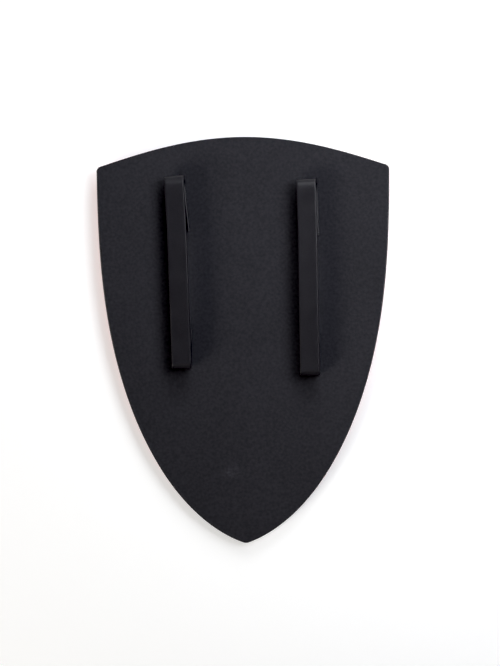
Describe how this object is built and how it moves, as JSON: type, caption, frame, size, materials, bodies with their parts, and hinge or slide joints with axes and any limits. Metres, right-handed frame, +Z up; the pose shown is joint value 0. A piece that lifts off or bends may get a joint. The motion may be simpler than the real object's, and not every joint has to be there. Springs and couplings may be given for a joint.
{
  "type": "toy heater shield",
  "caption": "Play shield of thin firm foam with a heater outline, bent about its long axis, lying on its front with low hand straps along its back.",
  "frame": {"origin": "on the surface it lies on, under the middle of its outline", "axes": "+X to the right seen from the straps' side, +Y towards the top edge, +Z up, out of the back"},
  "size_m": [0.2736, 0.3799, 0.0368],
  "materials": {
    "board_foam": "matte, fine-grained foam, with a plain red coat on the front face",
    "strap_foam": "smooth, slightly satin foam skin"
  },
  "bodies": {
    "root": {"shield_board": "board_foam", "left_strap": "strap_foam", "right_strap": "strap_foam"}
  },
  "joints": []
}
